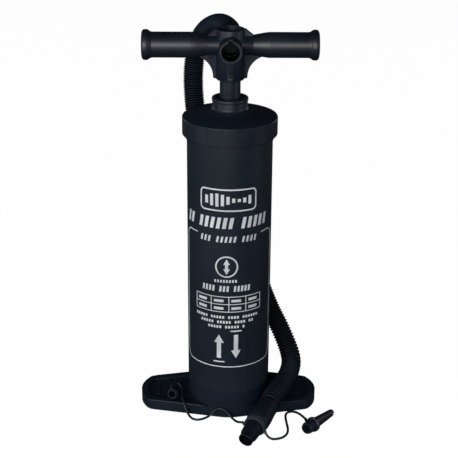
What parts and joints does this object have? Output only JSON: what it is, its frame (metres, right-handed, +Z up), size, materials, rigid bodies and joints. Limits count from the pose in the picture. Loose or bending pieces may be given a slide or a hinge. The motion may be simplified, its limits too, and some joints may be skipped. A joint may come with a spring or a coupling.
{
  "type": "double action hand pump",
  "caption": "Double action hand air pump: a barrel on a winged foot base, a T handle on a sliding piston rod, and a corrugated hose with a nozzle and tethered valve adapters.",
  "frame": {"origin": "on the floor, at the middle of the whole pump's footprint without the hose and what hangs on it", "axes": "+Z up along the barrel, X along the foot's wings and the handle, -Y to the front, where the handle's open port and the free end of the hose are"},
  "size_m": [0.2443, 0.2496, 0.482],
  "materials": {
    "blue_black_plastic": "satin moulded plastic, blue-black",
    "hose_plastic": "satin corrugated plastic, blue-black",
    "ring_plastic": "satin soft plastic, dark grey",
    "rod_plastic": "smooth satin plastic tube",
    "inner_plastic": "plain grey moulded plastic",
    "valve_rubber": "soft red-brown rubber",
    "seal_rubber": "greased black rubber",
    "screw_steel": "plain steel"
  },
  "bodies": {
    "stand": {"foot_base": "blue_black_plastic", "barrel": "blue_black_plastic", "base_seal": "seal_rubber", "bottom_bumper": "seal_rubber", "screw_cap": "blue_black_plastic", "cap_gasket": "seal_rubber", "guide_bush": "inner_plastic", "rod_wiper": "seal_rubber", "top_bumper": "seal_rubber", "hose_lower": "hose_plastic", "hose_cuff": "hose_plastic", "tether_ring": "ring_plastic", "nozzle": "hose_plastic", "tether_left": "ring_plastic", "adapter_left": "blue_black_plastic", "tether_right": "ring_plastic", "adapter_right": "blue_black_plastic"},
    "handle": {"rod_pin": "screw_steel", "piston_rod": "rod_plastic", "piston_lower": "inner_plastic", "piston_upper": "inner_plastic", "piston_seal": "seal_rubber", "piston_screws": "screw_steel", "handle_hub": "blue_black_plastic", "hub_cap": "blue_black_plastic", "hub_screws": "screw_steel", "grip_left": "blue_black_plastic", "grip_right": "blue_black_plastic", "hose_connector": "hose_plastic", "connector_seal": "seal_rubber", "hose_upper": "hose_plastic"},
    "inflate_disc_lower": {"inflate_valve_lower": "valve_rubber"},
    "inflate_disc_upper": {"inflate_valve_upper": "valve_rubber"},
    "deflate_disc_lower": {"deflate_valve_lower": "valve_rubber"},
    "deflate_disc_upper": {"deflate_valve_upper": "valve_rubber"}
  },
  "joints": [
    {"name": "pump_stroke", "type": "slide", "parent": "stand", "child": "handle", "axis": [0, 0, 1], "range_m": [0, 0.29]},
    {"name": "inflate_lower_lift", "type": "slide", "parent": "handle", "child": "inflate_disc_lower", "axis": [0, 0, 1], "range_m": [0, 0.0012], "stiffness_N_per_m": 60},
    {"name": "inflate_upper_lift", "type": "slide", "parent": "handle", "child": "inflate_disc_upper", "axis": [0, 0, -1], "range_m": [0, 0.0012], "stiffness_N_per_m": 60},
    {"name": "deflate_lower_lift", "type": "slide", "parent": "handle", "child": "deflate_disc_lower", "axis": [0, 0, -1], "range_m": [0, 0.0012], "stiffness_N_per_m": 60},
    {"name": "deflate_upper_lift", "type": "slide", "parent": "handle", "child": "deflate_disc_upper", "axis": [0, 0, 1], "range_m": [0, 0.0012], "stiffness_N_per_m": 60}
  ]
}
